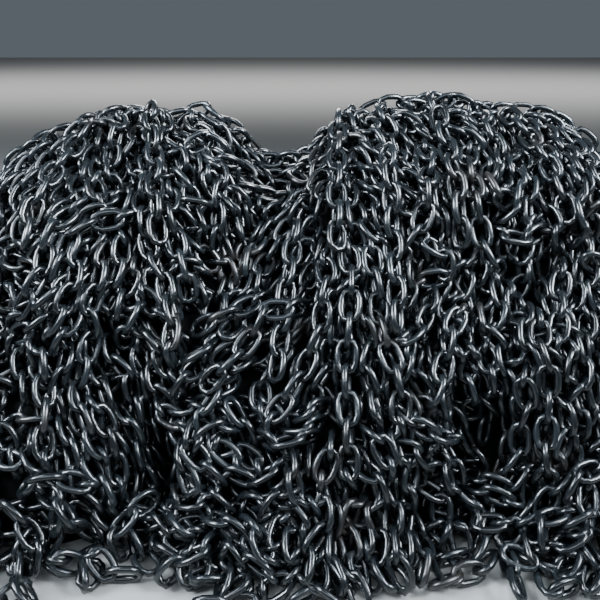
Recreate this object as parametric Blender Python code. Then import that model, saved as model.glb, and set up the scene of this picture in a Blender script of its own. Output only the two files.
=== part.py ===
"""A heap of iron chain: a plain core for the buried links, and draped runs of separate links on it.

Metres, +Z up, the front of the heap towards -Y, the flat bottom at Z = 0.
"""
import math

import bmesh
import bpy
import numpy as np
from mathutils import Matrix
from mathutils import Vector
from mathutils.bvhtree import BVHTree

# The heap as a whole, without the runs of links that lie on it.
HEAP_LENGTH = 2.64
HEAP_DEPTH = 1.84
HEAP_HEIGHT = 0.98

# One link: a round wire bent to a long oval and welded.
WIRE_DIAMETER = 0.016
LINK_INNER_LENGTH = 0.060
LINK_OUTER_WIDTH = 0.058

# Clearances: between two links hooked into each other, and under a link that rests on the core.
HOOK_GAP = 0.0004
REST_GAP = 0.0003

# Depth of the furrows between neighbouring bundles of chain on the core's face.
FURROW_DEPTH = 0.034

# The largest turn from one link to the next, which the hook gap has to allow for.
LARGEST_TURN = math.radians(22.0)

# The length over which a run of links bridges the lumps and hollows under it.
BRIDGED_LENGTH = 0.20

# How finely the round shapes are divided.
WIRE_SIDES = 6
BEND_STEPS = 6
CORE_COLUMNS = 109
CORE_ROWS = 53

# The crest line from the left end to the right end: shares of half the length and of the height.
CREST = (
    (-1.00, 0.00),
    (-0.97, 0.24),
    (-0.90, 0.47),
    (-0.80, 0.64),
    (-0.68, 0.75),
    (-0.58, 0.80),
    (-0.44, 0.90),
    (-0.36, 0.94),
    (-0.21, 0.97),
    (-0.10, 0.99),
    (-0.06, 0.91),
    (0.00, 0.82),
    (0.06, 0.80),
    (0.12, 0.86),
    (0.20, 0.95),
    (0.29, 1.00),
    (0.42, 1.00),
    (0.55, 0.96),
    (0.68, 0.95),
    (0.76, 0.88),
    (0.84, 0.72),
    (0.93, 0.45),
    (0.98, 0.20),
    (1.00, 0.00),
)

# The length of crest over which its corners are rounded off.
CREST_ROUNDING = 0.066

# The slope from crest to foot: a higher power gives a rounder top and a steeper foot.
SLOPE_POWER = 1.7

# Bulges along the foot: the distance between two, the place of one, and how far they stand out.
BULGE_SPACING = 0.74
BULGE_PLACE = 0.137
BULGE_DEPTH = 0.10

# Broad lumps of the heap's face: how far they stand out, and roughly how far one is from the next.
LUMP_HEIGHT = 0.013
LUMP_SPACING = 0.26
LUMP_WAVES = 5

# Hollows between the bundles of chain: the width and depth of a full one, and where they lie as shares
# of length and depth from the middle, each with its own share of that width and depth.
HOLLOW_WIDTH = 0.070
HOLLOW_DEPTH = 0.060
HOLLOWS = (
    (-0.074, -0.348, 0.86, 1.00),
    (-0.077, -0.366, 0.93, 1.33),
    (-0.079, -0.386, 0.93, 1.33),
    (-0.082, -0.403, 0.86, 0.83),
    (0.230, -0.377, 1.29, 1.00),
    (0.210, -0.361, 1.00, 0.83),
    (-0.039, -0.223, 1.00, 0.92),
    (-0.011, -0.236, 0.86, 0.75),
    (0.175, -0.257, 1.00, 0.75),
    (0.223, -0.245, 1.00, 0.75),
    (0.273, -0.240, 1.00, 0.75),
    (0.137, -0.236, 0.71, 0.83),
    (-0.133, -0.323, 0.86, 0.67),
    (-0.099, -0.146, 0.64, 0.58),
    (0.021, -0.378, 0.86, 0.58),
    (0.092, -0.440, 1.29, 0.67),
    (0.140, -0.430, 1.14, 0.67),
    (-0.300, -0.260, 1.14, 0.75),
    (0.370, -0.200, 1.14, 0.75),
    (-0.210, 0.300, 1.29, 0.83),
    (-0.060, 0.240, 1.00, 0.75),
    (0.060, 0.330, 1.14, 1.00),
    (0.160, 0.370, 1.00, 0.75),
    (0.260, 0.270, 1.29, 0.83),
    (-0.380, 0.100, 1.00, 0.75),
    (0.400, 0.080, 1.00, 0.75),
)

# Bellies where chain hangs over the shoulders of the humps, given in the same way as the hollows.
BELLY_WIDTH = 0.100
BELLY_HEIGHT = 0.034
BELLIES = (
    (-0.240, -0.180, 1.00, 0.60),
    (-0.179, -0.200, 1.00, 0.90),
    (-0.105, -0.188, 1.00, 0.80),
    (0.100, -0.190, 0.90, 0.80),
    (0.160, -0.186, 1.00, 1.00),
    (0.225, -0.180, 1.00, 1.00),
    (0.290, -0.165, 1.00, 1.00),
    (0.345, -0.140, 0.90, 0.70),
    (-0.150, 0.190, 1.10, 0.80),
    (0.120, 0.200, 1.00, 0.80),
    (0.230, 0.180, 1.10, 0.90),
)

# How much closer together the furrows lie at the crest than at the foot.
FAN_SHARE = 0.14

# Runs of links: name, start as shares of length and depth, heading in degrees in plan, links.
# A heading of -90 runs straight to the front.
RUNS = (
    ("left_flank_run", -0.167, -0.075, -107.0, 7),
    ("left_hump_run", -0.109, -0.040, -77.0, 8),
    ("front_run", 0.049, -0.180, -101.0, 7),
    ("right_hump_inner_run", 0.095, -0.040, -93.0, 8),
    ("right_hump_middle_run", 0.134, -0.150, -90.0, 8),
    ("right_hump_outer_run", 0.188, -0.080, -84.0, 7),
    ("right_flank_run", 0.267, -0.040, -74.0, 7),
    ("back_run", -0.020, 0.120, 84.0, 6),
)


def material(name, shade, metallic, roughness):
    """A material with one plain surface."""
    made = bpy.data.materials.new(name)
    made.use_nodes = True
    shader = made.node_tree.nodes["Principled BSDF"]
    shader.inputs["Base Color"].default_value = (*shade, 1.0)
    shader.inputs["Metallic"].default_value = metallic
    shader.inputs["Roughness"].default_value = roughness
    made.diffuse_color = (*shade, 1.0)
    return made


def smooth_mesh(name, points, faces, finish):
    """A smooth-shaded mesh with one material."""
    mesh = bpy.data.meshes.new(name)
    mesh.from_pydata([tuple(map(float, p)) for p in points], [], faces)
    mesh.update()
    mesh.materials.append(finish)
    mesh.shade_smooth()
    return mesh


def add_object(name, data):
    """A new object in the scene; with no data it is an empty."""
    made = bpy.data.objects.new(name, data)
    bpy.context.scene.collection.objects.link(made)
    return made


def crest_line():
    """The crest as places along the length and heights above the floor, with rounded corners."""
    steps = 800
    places = np.linspace(-1.0, 1.0, steps + 1)
    line = np.interp(places, [p for p, _ in CREST], [h for _, h in CREST])
    reach = int(round(CREST_ROUNDING / HEAP_LENGTH * steps))
    padded = np.concatenate([-line[reach:0:-1], line, -line[-2:-reach - 2:-1]])
    weights = np.hanning(2 * reach + 3)[1:-1]
    smooth = np.convolve(padded, weights / weights.sum(), mode="valid")
    return HEAP_LENGTH / 2 * places, HEAP_HEIGHT * smooth


CREST_PLACES, CREST_HEIGHTS = crest_line()


def foot_line(x):
    """Distance of the heap's foot from its middle line, at a place along the length."""
    share = np.clip(np.abs(x) / (HEAP_LENGTH / 2), 0.0, 1.0)
    hollow = np.sin(math.pi * (x - BULGE_PLACE) / BULGE_SPACING) ** 6
    return (HEAP_DEPTH / 2 - BULGE_DEPTH * hollow) * (1 - share ** 3) ** 0.4


def heap_height(x, y):
    """Height of the heap's smooth top over a point of the floor."""
    crest = np.interp(x, CREST_PLACES, CREST_HEIGHTS)
    slope = np.clip(np.abs(y) / np.maximum(foot_line(x), REST_GAP), 0.0, 1.0)
    return crest * (1.0 - slope ** SLOPE_POWER)


def lump_field(x, y):
    """A few waves in all directions added up, about -1 to 1."""
    chance = np.random.default_rng(31)
    total = np.zeros(np.shape(x))
    for _ in range(LUMP_WAVES):
        turn = chance.uniform(0.0, 2 * math.pi)
        length = LUMP_SPACING * chance.uniform(0.7, 1.5)
        way = x * math.cos(turn) + y * math.sin(turn)
        total += np.sin(2 * math.pi * way / length + chance.uniform(0.0, 2 * math.pi))
    return total / math.sqrt(LUMP_WAVES)


def dimples(x, y, places, width, depth):
    """Depth over a point of the floor of round dimples in the smooth top, added up."""
    z = heap_height(x, y)
    total = np.zeros(np.shape(x))
    for share_x, share_y, wide, deep in places:
        middle_x = share_x * HEAP_LENGTH
        middle_y = share_y * HEAP_DEPTH
        middle_z = heap_height(middle_x, middle_y)
        far = (x - middle_x) ** 2 + (y - middle_y) ** 2 + (z - middle_z) ** 2
        total = total + depth * deep * np.exp(-far / (width * wide) ** 2)
    return total


def relief_depth(x, y):
    """How far lumps, hollows and bellies draw the smooth top inward, less so towards the foot."""
    drawn = dimples(x, y, HOLLOWS, HOLLOW_WIDTH, HOLLOW_DEPTH)
    drawn = drawn - dimples(x, y, BELLIES, BELLY_WIDTH, BELLY_HEIGHT)
    drawn = drawn - LUMP_HEIGHT * lump_field(x, y)
    return drawn * np.clip(10.0 * heap_height(x, y) / HEAP_HEIGHT, 0.0, 1.0)


def heap_normal(x, y):
    """Outward direction of the smooth top over a point of the floor."""
    step = WIRE_DIAMETER
    x = np.clip(x, 2 * step - HEAP_LENGTH / 2, HEAP_LENGTH / 2 - 2 * step)
    room = foot_line(x) - 2 * step
    y = np.clip(y, -room, room)
    slope_x = (heap_height(x + step, y) - heap_height(x - step, y)) / (2 * step)
    slope_y = (heap_height(x, y + step) - heap_height(x, y - step)) / (2 * step)
    out = np.stack([-slope_x, -slope_y, np.ones_like(slope_x)], axis=-1)
    return out / np.linalg.norm(out, axis=-1, keepdims=True)


def core_points():
    """Points of the core's top, in columns from front foot to back foot."""
    chance = np.random.default_rng(11)
    along = np.sin(0.5 * math.pi * np.linspace(-1.0, 1.0, CORE_COLUMNS + 2)[1:-1])
    across = np.sin(0.5 * math.pi * np.linspace(-1.0, 1.0, CORE_ROWS))
    fan = FAN_SHARE * (1 - along[:, None] ** 2) * (1 - across[None, :] ** 2)
    x = HEAP_LENGTH / 2 * along[:, None] * (1 - fan)
    y = across[None, :] * foot_line(x)
    z = heap_height(x, y)
    depth = FURROW_DEPTH * chance.uniform(0.4, 1.0, CORE_COLUMNS)
    depth = np.where(np.arange(CORE_COLUMNS) % 2 == 0, depth, 0.0)
    sunk = depth[:, None] + chance.uniform(0.0, 0.3 * FURROW_DEPTH, x.shape) + relief_depth(x, y)
    sunk = sunk * np.minimum(1.0, 4.0 * (1.0 - np.abs(along)))[:, None]
    points = np.stack([x, y, z], axis=-1) - heap_normal(x, y) * sunk[..., None]
    points[:, 1:-1, 2] = np.maximum(points[:, 1:-1, 2], REST_GAP)
    for row, inward in ((0, 1.0), (-1, -1.0)):
        points[:, row, 0] = x[:, row]
        points[:, row, 1] = y[:, row] + inward * 0.5 * np.minimum(depth, np.abs(y[:, row]))
        points[:, row, 2] = 0.0
    return points


def build_core(finish):
    """The plain core: a closed mound with furrows from front foot to back foot and a flat bottom."""
    points = core_points()
    ends = np.array([[-HEAP_LENGTH / 2, 0.0, 0.0], [HEAP_LENGTH / 2, 0.0, 0.0]])
    vertices = np.concatenate([points.reshape(-1, 3), ends])
    left = len(vertices) - 2
    right = left + 1
    top = CORE_ROWS - 1
    last = (CORE_COLUMNS - 1) * CORE_ROWS
    faces = [(left, top, 0), (right, last, last + top)]
    for row in range(top):
        faces.append((left, row, row + 1))
        faces.append((right, last + row + 1, last + row))
    for column in range(CORE_COLUMNS - 1):
        a = column * CORE_ROWS
        b = a + CORE_ROWS
        faces.append((a, a + top, b + top))
        faces.append((a, b + top, b))
        for row in range(top):
            faces.append((a + row, b + row, b + row + 1))
            faces.append((a + row, b + row + 1, a + row + 1))
    return add_object("buried_chain_core", smooth_mesh("buried_chain_core", vertices, faces, finish))


def link_shape():
    """Points and faces of one link: x along its length, y across it, middle at the origin."""
    wire = WIRE_DIAMETER / 2
    bend = (LINK_OUTER_WIDTH - WIRE_DIAMETER) / 2
    straight = (LINK_INNER_LENGTH + WIRE_DIAMETER) / 2 - bend
    points = []
    for side in (1, -1):
        for step in range(BEND_STEPS + 1):
            turn = -math.pi / 2 + math.pi * step / BEND_STEPS
            away = side * Vector((math.cos(turn), math.sin(turn), 0.0))
            centre = Vector((side * straight, 0.0, 0.0)) + bend * away
            for k in range(WIRE_SIDES):
                a = 2 * math.pi * k / WIRE_SIDES
                points.append(centre + wire * (math.cos(a) * away + math.sin(a) * Vector((0, 0, 1))))
    faces = []
    rings = 2 * (BEND_STEPS + 1)
    for i in range(rings):
        a = i * WIRE_SIDES
        b = (i + 1) % rings * WIRE_SIDES
        for k in range(WIRE_SIDES):
            m = (k + 1) % WIRE_SIDES
            faces.append((a + k, b + k, b + m, a + m))
    return points, faces


def hook_points(start, heading, links, lift):
    """The points where the links of one run hook into each other, at a given lift off the heap."""
    pitch = LINK_INNER_LENGTH - HOOK_GAP
    pitch -= WIRE_DIAMETER * (1 / math.cos(LARGEST_TURN / 2) - 1)
    along = np.linspace(0.0, 0.6 * HEAP_DEPTH, 1500)
    x = start[0] + along * math.cos(heading)
    y = start[1] + along * math.sin(heading)
    reach = int(round(BRIDGED_LENGTH / 2 / along[1]))
    weights = np.hanning(2 * reach + 3)[1:-1]
    relief = np.pad(relief_depth(x, y), reach, mode="edge")
    relief = np.convolve(relief, weights / weights.sum(), mode="valid")
    path = np.stack([x, y, heap_height(x, y)], axis=-1) + heap_normal(x, y) * (lift - relief)[:, None]
    hooks = [path[0]]
    at = 0
    for _ in range(links):
        far = np.linalg.norm(path[at:] - hooks[-1], axis=1)
        at += int(np.nonzero(far >= pitch)[0][0])
        way = path[at] - hooks[-1]
        hooks.append(hooks[-1] + way * (pitch / np.linalg.norm(way)))
    return hooks


def link_places(hooks, rolls):
    """Where each link of one run lies, each turned a quarter against the one before it."""
    places = []
    for i, roll in enumerate(rolls):
        middle = (hooks[i] + hooks[i + 1]) / 2
        ahead = Vector(hooks[i + 1] - hooks[i]).normalized()
        out = Vector(heap_normal(middle[0], middle[1]))
        side = out.cross(ahead).normalized()
        up = ahead.cross(side)
        across = math.cos(roll) * side + math.sin(roll) * up
        turn = Matrix((ahead, across, ahead.cross(across))).transposed()
        places.append(Matrix.Translation(middle) @ turn.to_4x4())
    return places


def resting_lift(shape, core_tree, start, heading, rolls):
    """How far off the core a run is held when its lowest link just clears it."""
    points, faces = shape

    def touches(lift):
        for place in link_places(hook_points(start, heading, len(rolls), lift), rolls):
            tree = BVHTree.FromPolygons([place @ p for p in points], faces)
            if tree.overlap(core_tree):
                return True
        return False

    step = WIRE_DIAMETER / 4
    clear = LINK_OUTER_WIDTH
    while touches(clear):
        clear += step
    while not touches(clear - step):
        clear -= step
    held = clear - step
    while clear - held > REST_GAP / 10:
        middle = (clear + held) / 2
        if touches(middle):
            held = middle
        else:
            clear = middle
    return clear + REST_GAP


def build_runs(core, finish):
    """All runs of separate links that lie draped on the core."""
    body = bmesh.new()
    body.from_mesh(core.data)
    core_tree = BVHTree.FromBMesh(body)
    body.free()
    shape = link_shape()
    link_mesh = smooth_mesh("chain_link", *shape, finish)
    chance = np.random.default_rng(5)
    for name, share_x, share_y, degrees, links in RUNS:
        start = (share_x * HEAP_LENGTH, share_y * HEAP_DEPTH)
        heading = math.radians(degrees)
        lean = chance.uniform(-6.0, 6.0, links)
        rolls = [math.radians((45.0 if i % 2 == 0 else -45.0) + lean[i]) for i in range(links)]
        lift = resting_lift(shape, core_tree, start, heading, rolls)
        hooks = hook_points(start, heading, links, lift)
        top = add_object(name, None)
        top.location = hooks[0]
        for number, place in enumerate(link_places(hooks, rolls), start=1):
            link = add_object(f"{name}_link_{number}", link_mesh)
            link.parent = top
            link.location = place.translation - top.location
            link.rotation_euler = place.to_euler()


def main():
    """Clears the scene and builds the heap."""
    for old in list(bpy.data.objects):
        bpy.data.objects.remove(old, do_unlink=True)
    buried = material("buried_chain", (0.010, 0.012, 0.013), 0.0, 0.55)
    painted = material("black_painted_iron", (0.016, 0.019, 0.021), 0.0, 0.30)
    core = build_core(buried)
    build_runs(core, painted)


main()
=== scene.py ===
"""The look of a heap of iron chain: thousands of welded links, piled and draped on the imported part.

Units are metres, +Z is up, the front of the heap faces -Y. The buried core of the part gives the heap's
shape: lengths of chain are walked over it in layers and pushed apart, though not far enough, and every
link is then set between its two hooking points. The separate links of the part's own runs are redrawn
where they lie.

The pile is made for the eye only. Nearly every loose link runs into others, so it isn't one that real
chain could form, and it can't be taken as loose bodies.
"""
from __future__ import annotations

import logging
import math
from dataclasses import dataclass
from enum import Enum
from typing import Any

import bmesh
import bpy
import numpy as np
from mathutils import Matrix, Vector
from mathutils.bvhtree import BVHTree

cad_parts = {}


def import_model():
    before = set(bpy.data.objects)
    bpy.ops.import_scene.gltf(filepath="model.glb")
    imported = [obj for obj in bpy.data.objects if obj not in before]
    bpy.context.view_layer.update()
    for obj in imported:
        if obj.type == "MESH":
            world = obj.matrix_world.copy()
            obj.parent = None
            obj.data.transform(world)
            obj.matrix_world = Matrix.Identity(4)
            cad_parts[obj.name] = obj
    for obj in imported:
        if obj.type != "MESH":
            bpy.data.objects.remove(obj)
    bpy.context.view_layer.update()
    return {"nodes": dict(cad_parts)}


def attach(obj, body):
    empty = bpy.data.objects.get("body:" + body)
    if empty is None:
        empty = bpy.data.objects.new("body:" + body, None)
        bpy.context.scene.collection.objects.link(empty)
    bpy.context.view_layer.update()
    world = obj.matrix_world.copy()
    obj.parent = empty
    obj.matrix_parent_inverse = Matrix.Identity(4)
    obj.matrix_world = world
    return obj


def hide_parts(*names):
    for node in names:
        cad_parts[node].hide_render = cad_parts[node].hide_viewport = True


Array = np.ndarray
Line = tuple[tuple[int, int], ...]
Triple = tuple[float, float, float]
LOG = logging.getLogger("chain_heap")
UP = np.array([0.0, 0.0, 1.0])
# Height over the floor that hooking points are raised to, about half a link's width.
HOOK_HEIGHT = 0.030
# Lengths below which a direction counts as none.
TINY = 1e-9
SMALL = 1e-6


def unit(vectors: Array) -> Array:
    """Scales vectors to length one.

    Args:
        vectors: Vectors along the last axis.

    Returns:
        The same directions, each divided by its own length.
    """
    length = np.linalg.norm(vectors, axis=-1, keepdims=True)
    return vectors / np.maximum(length, TINY)


# The one link that everything is made of


@dataclass(frozen=True)
class LinkForm:
    """A welded oval link of round wire.

    Attributes:
        wire: Diameter of the wire.
        inner_length: Clear length inside the link, which is also the chain's pitch.
        outer_width: Width over both sides.
        bow: How far the long sides bulge outwards at the middle.
        weld: How much thicker the wire is at the weld, as a factor.
        sides: Corners of the wire's section.
        bend_steps: Steps round each end.
    """

    wire: float = 0.016
    inner_length: float = 0.060
    outer_width: float = 0.058
    bow: float = 0.0008
    weld: float = 1.12
    sides: int = 6
    bend_steps: int = 4

    def rings(self) -> tuple[Array, Array, Array]:
        """Works out the middle line of the wire as a closed row of rings.

        Each end is half a circle of radius (outer width - wire) / 2 about a point on the long axis; a ring
        in the middle of each long side carries the bow, and on one side the weld.

        Returns:
            Ring centres, outward directions in the link's plane, and wire radii.
        """
        bend = (self.outer_width - self.wire) / 2
        straight = (self.inner_length + self.wire) / 2 - bend
        turn = np.linspace(-math.pi / 2, math.pi / 2, self.bend_steps + 1)
        away = np.stack([np.cos(turn), np.sin(turn), 0 * turn], axis=-1)
        flip = np.array([-1.0, -1.0, 1.0])
        end = away * bend + np.array([straight, 0.0, 0.0])
        side_away = np.array([[0.0, 1.0, 0.0]])
        side = side_away * (bend + self.bow)
        centres = np.concatenate([end, side, end * flip, side * flip])
        outward = np.concatenate([away, side_away, away * flip, side_away * flip])
        radii = np.full(len(centres), self.wire / 2)
        radii[-1] *= self.weld
        return centres, outward, radii

    def template(self) -> tuple[Array, Array]:
        """Carries a round section along the rings.

        A point is ring centre + radius * (cos k * outward + sin k * up), with k going once round.

        Returns:
            Points (n, 3) and four-cornered faces (m, 4) of one link about its own middle, with its long
            axis along X and its width along Y.
        """
        centres, outward, radii = self.rings()
        k = 2 * math.pi * np.arange(self.sides) / self.sides
        spoke = np.cos(k)[None, :, None] * outward[:, None, :] + np.sin(k)[None, :, None] * UP
        points = centres[:, None, :] + radii[:, None, None] * spoke
        ring = np.arange(len(centres))[:, None] * self.sides
        after = np.roll(ring, -1, axis=0)
        side = np.arange(self.sides)[None, :]
        beside = np.roll(side, -1, axis=1)
        faces = np.stack([ring + side, after + side, after + beside, ring + beside], axis=-1)
        return points.reshape(-1, 3), faces.reshape(-1, 4)


# The ground that the chain lies on


@dataclass(frozen=True)
class Ripples:
    """A smooth random field over the floor: a few sine waves in random directions added up.

    Attributes:
        seed: Start of the random numbers.
        shortest: Shortest wavelength.
        longest: Longest wavelength.
        waves: How many waves are added.
    """

    seed: int
    shortest: float
    longest: float
    waves: int = 5

    def value(self, xy: Array) -> Array:
        """Adds up sin(direction . point * 2 pi / wavelength + phase) over the waves.

        Args:
            xy: Points (n, 2).

        Returns:
            The sums divided by the square root of the number of waves.
        """
        chance = np.random.default_rng(self.seed)
        angle = chance.uniform(0, 2 * math.pi, self.waves)
        size = 2 * math.pi / chance.uniform(self.shortest, self.longest, self.waves)
        wave = np.stack([np.cos(angle), np.sin(angle)]) * size
        phase = chance.uniform(0, 2 * math.pi, self.waves)
        return np.sin(xy @ wave + phase).sum(axis=-1) / math.sqrt(self.waves)


class Mound:
    """The heap's shape as a smooth height over the floor, read from the part's buried core.

    The core is sampled on a square grid from above. Each grid point takes the highest of its neighbours
    and is then blurred a little, which fills the furrows but keeps the lumps and hollows; the slopes are
    blurred more. Between grid points a value is interpolated along both sides of the cell.
    """

    def __init__(self, core: bpy.types.Object, pitch: float = 0.010, margin: float = 0.14,
                 headroom: float = 1.0) -> None:
        """Samples the core.

        Args:
            core: The core's object.
            pitch: Distance between two grid points.
            margin: How far the grid reaches past the core.
            headroom: How far over the core's top the sampling starts.
        """
        corners = mesh_corners(core.data)
        faces = [tuple(p.vertices) for p in core.data.polygons]
        tree = BVHTree.FromPolygons([Vector(p) for p in corners], faces)
        low = corners.min(axis=0) - margin
        high = corners.max(axis=0) + margin
        self.pitch = pitch
        self.origin = low[:2]
        xs = np.arange(low[0], high[0], pitch)
        ys = np.arange(low[1], high[1], pitch)
        sky = float(high[2]) + headroom
        down = Vector((0.0, 0.0, -1.0))
        hits = [[tree.ray_cast(Vector((x, y, sky)), down)[0] for y in ys] for x in xs]
        heights = np.array([[hit.z if hit else 0.0 for hit in row] for row in hits])
        self.heights = self.blurred(self.grown(heights, reach=2), reach=2, rounds=1)
        self.slope_x, self.slope_y = np.gradient(self.blurred(self.heights, reach=4, rounds=2), pitch)
        self.half_sizes = (high[:2] - low[:2]) / 2 - margin

    @staticmethod
    def grown(values: Array, reach: int) -> Array:
        """Takes the highest value of the square of 2 * reach + 1 cells round each grid point.

        Args:
            values: The grid.
            reach: Half width of the square.

        Returns:
            The raised grid.
        """
        for axis in (0, 1):
            values = np.max([np.roll(values, k, axis=axis) for k in range(-reach, reach + 1)], axis=0)
        return values

    @staticmethod
    def blurred(values: Array, reach: int, rounds: int) -> Array:
        """Averages a grid over squares of 2 * reach + 1 cells, several times over.

        Args:
            values: The grid.
            reach: Half width of the square.
            rounds: How often it is averaged.

        Returns:
            The smoothed grid.
        """
        for _ in range(rounds):
            for axis in (0, 1):
                values = sum(np.roll(values, k, axis=axis) for k in range(-reach, reach + 1))
                values = values / (2 * reach + 1)
        return values

    def lookup(self, grid: Array, xy: Array) -> Array:
        """Interpolates a grid at points of the floor.

        Args:
            grid: Heights or slopes on the mound's grid.
            xy: Points (n, 2).

        Returns:
            One value for each point.
        """
        # A point past the grid counts as just inside its last cell, so that the next grid point exists.
        last = np.array(grid.shape) - 1.001
        spot = np.clip((xy - self.origin) / self.pitch, 0.0, last)
        cell = spot.astype(int)
        part = spot - cell
        i, j = cell[:, 0], cell[:, 1]
        near = grid[i, j] * (1 - part[:, 1]) + grid[i, j + 1] * part[:, 1]
        far = grid[i + 1, j] * (1 - part[:, 1]) + grid[i + 1, j + 1] * part[:, 1]
        return near * (1 - part[:, 0]) + far * part[:, 0]

    def surface(self, xy: Array) -> tuple[Array, Array]:
        """Finds the surface over points of the floor.

        Args:
            xy: Points (n, 2).

        Returns:
            Points (n, 3) on the surface and outward unit normals (n, 3).
        """
        height = self.lookup(self.heights, xy)
        slope_x = self.lookup(self.slope_x, xy)
        slope_y = self.lookup(self.slope_y, xy)
        normals = unit(np.stack([-slope_x, -slope_y, np.ones_like(height)], axis=-1))
        return np.column_stack([xy, height]), normals

    def above(self, points: Array) -> tuple[Array, Array]:
        """Measures how far points lie outside the surface.

        Args:
            points: Points (n, 3).

        Returns:
            Distances, negative inside, and the surface's normals there.
        """
        base, normals = self.surface(points[:, :2])
        return (points[:, 2] - base[:, 2]) * normals[:, 2], normals


# Lengths of chain laid over the mound


class Lie(Enum):
    """How a length's links lie: their mean turn and how far they lean to either side of it, in half turns.

    LEANING links lean by 34 degrees from upright, left and right by turns, CROSSED ones lie flat and stand
    upright by turns, SPLAYED ones lie at half a right angle to the surface, to either side by turns.
    """

    LEANING = (0.50, 0.19)
    CROSSED = (0.25, 0.25)
    SPLAYED = (0.00, 0.25)

    def turns(self) -> tuple[float, float]:
        """Gives the mean turn and the lean in radians."""
        return self.value[0] * math.pi, self.value[1] * math.pi

    @staticmethod
    def drawn(chance: np.random.Generator) -> tuple[float, float]:
        """Draws the turn and the lean of one length: six in ten are leaning, and both values stray a little.

        Args:
            chance: Random numbers.

        Returns:
            Mean turn and lean in radians.
        """
        shares = [0.60, 0.22, 0.18]
        stray_turn, stray_lean = 0.15, 0.04
        kind = (Lie.LEANING, Lie.CROSSED, Lie.SPLAYED)[int(chance.choice(3, p=shares))]
        turn, lean = kind.turns()
        return float(turn + chance.normal(0, stray_turn)), float(lean + chance.normal(0, stray_lean))


class Tier(Enum):
    """Where a length lies in the heap: the word for it in a piece's name, and how easily it is pushed."""

    BURIED = ("buried", 0.3)
    SECOND = ("second", 0.4)
    OUTER = ("outer", 0.7)
    LOOSE = ("loose", 1.0)
    SEEN = ("seen", 0.3)

    @property
    def word(self) -> str:
        """The tier's word."""
        return self.value[0]

    @property
    def give(self) -> float:
        """Its share of a push, against that of the other length."""
        return self.value[1]


@dataclass
class Strand:
    """One length of chain as the row of points where its links hook into each other.

    Attributes:
        hooks: Hooking points (n + 1, 3) of n links.
        twist: Mean turn of the links about the chain's own line, in radians.
        lean: How far the links lean to either side of that turn, in radians.
        tier: Where it lies in the heap.
    """

    hooks: Array
    twist: float
    lean: float
    tier: Tier


@dataclass(frozen=True)
class PhotoView:
    """The view that the photograph was taken from, as worked out from it.

    Attributes:
        eye: Place of the camera.
        tilt: How far it looks down, in degrees.
        focal: Focal length in pixels.
        side: Width and height of the picture in pixels.
        sensor: Width of the camera's sensor in millimetres.
        sight: Where sight lines are followed: start, end and step, as distances ahead.
    """

    eye: Triple = (0.13, -1.95, 1.13)
    tilt: float = 22.2
    focal: float = 643.0
    side: int = 600
    sensor: float = 36.0
    sight: Triple = (0.6, 3.2, 0.004)

    def onto(self, mound: Mound, pixels: Array) -> Array:
        """Follows the sight lines through pixels until they enter the mound.

        A sight line is eye + t * (right * (u - half side) + down * (v - half side) + ahead * focal) / focal;
        the first t with the point under the surface counts, or the nearest miss.

        Args:
            mound: The surface.
            pixels: Points (n, 2) of the picture.

        Returns:
            Points (n, 3) on the surface.
        """
        tilt = math.radians(self.tilt)
        ahead = np.array([0.0, math.cos(tilt), -math.sin(tilt)])
        down = np.array([0.0, -math.sin(tilt), -math.cos(tilt)])
        right = np.array([1.0, 0.0, 0.0])
        from_middle = pixels - self.side / 2
        lines = ahead + (from_middle[:, :1] * right + from_middle[:, 1:] * down) / self.focal
        reach = np.arange(*self.sight)
        points = np.array(self.eye) + reach[None, :, None] * lines[:, None, :]
        flat = points.reshape(-1, 3)
        over = (flat[:, 2] - mound.lookup(mound.heights, flat[:, :2])).reshape(points.shape[:2])
        inside = over < 0
        step = np.where(inside.any(axis=1), np.argmax(inside, axis=1), np.argmin(over, axis=1))
        found = points[np.arange(len(pixels)), step]
        return mound.surface(found[:, :2])[0]


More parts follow.
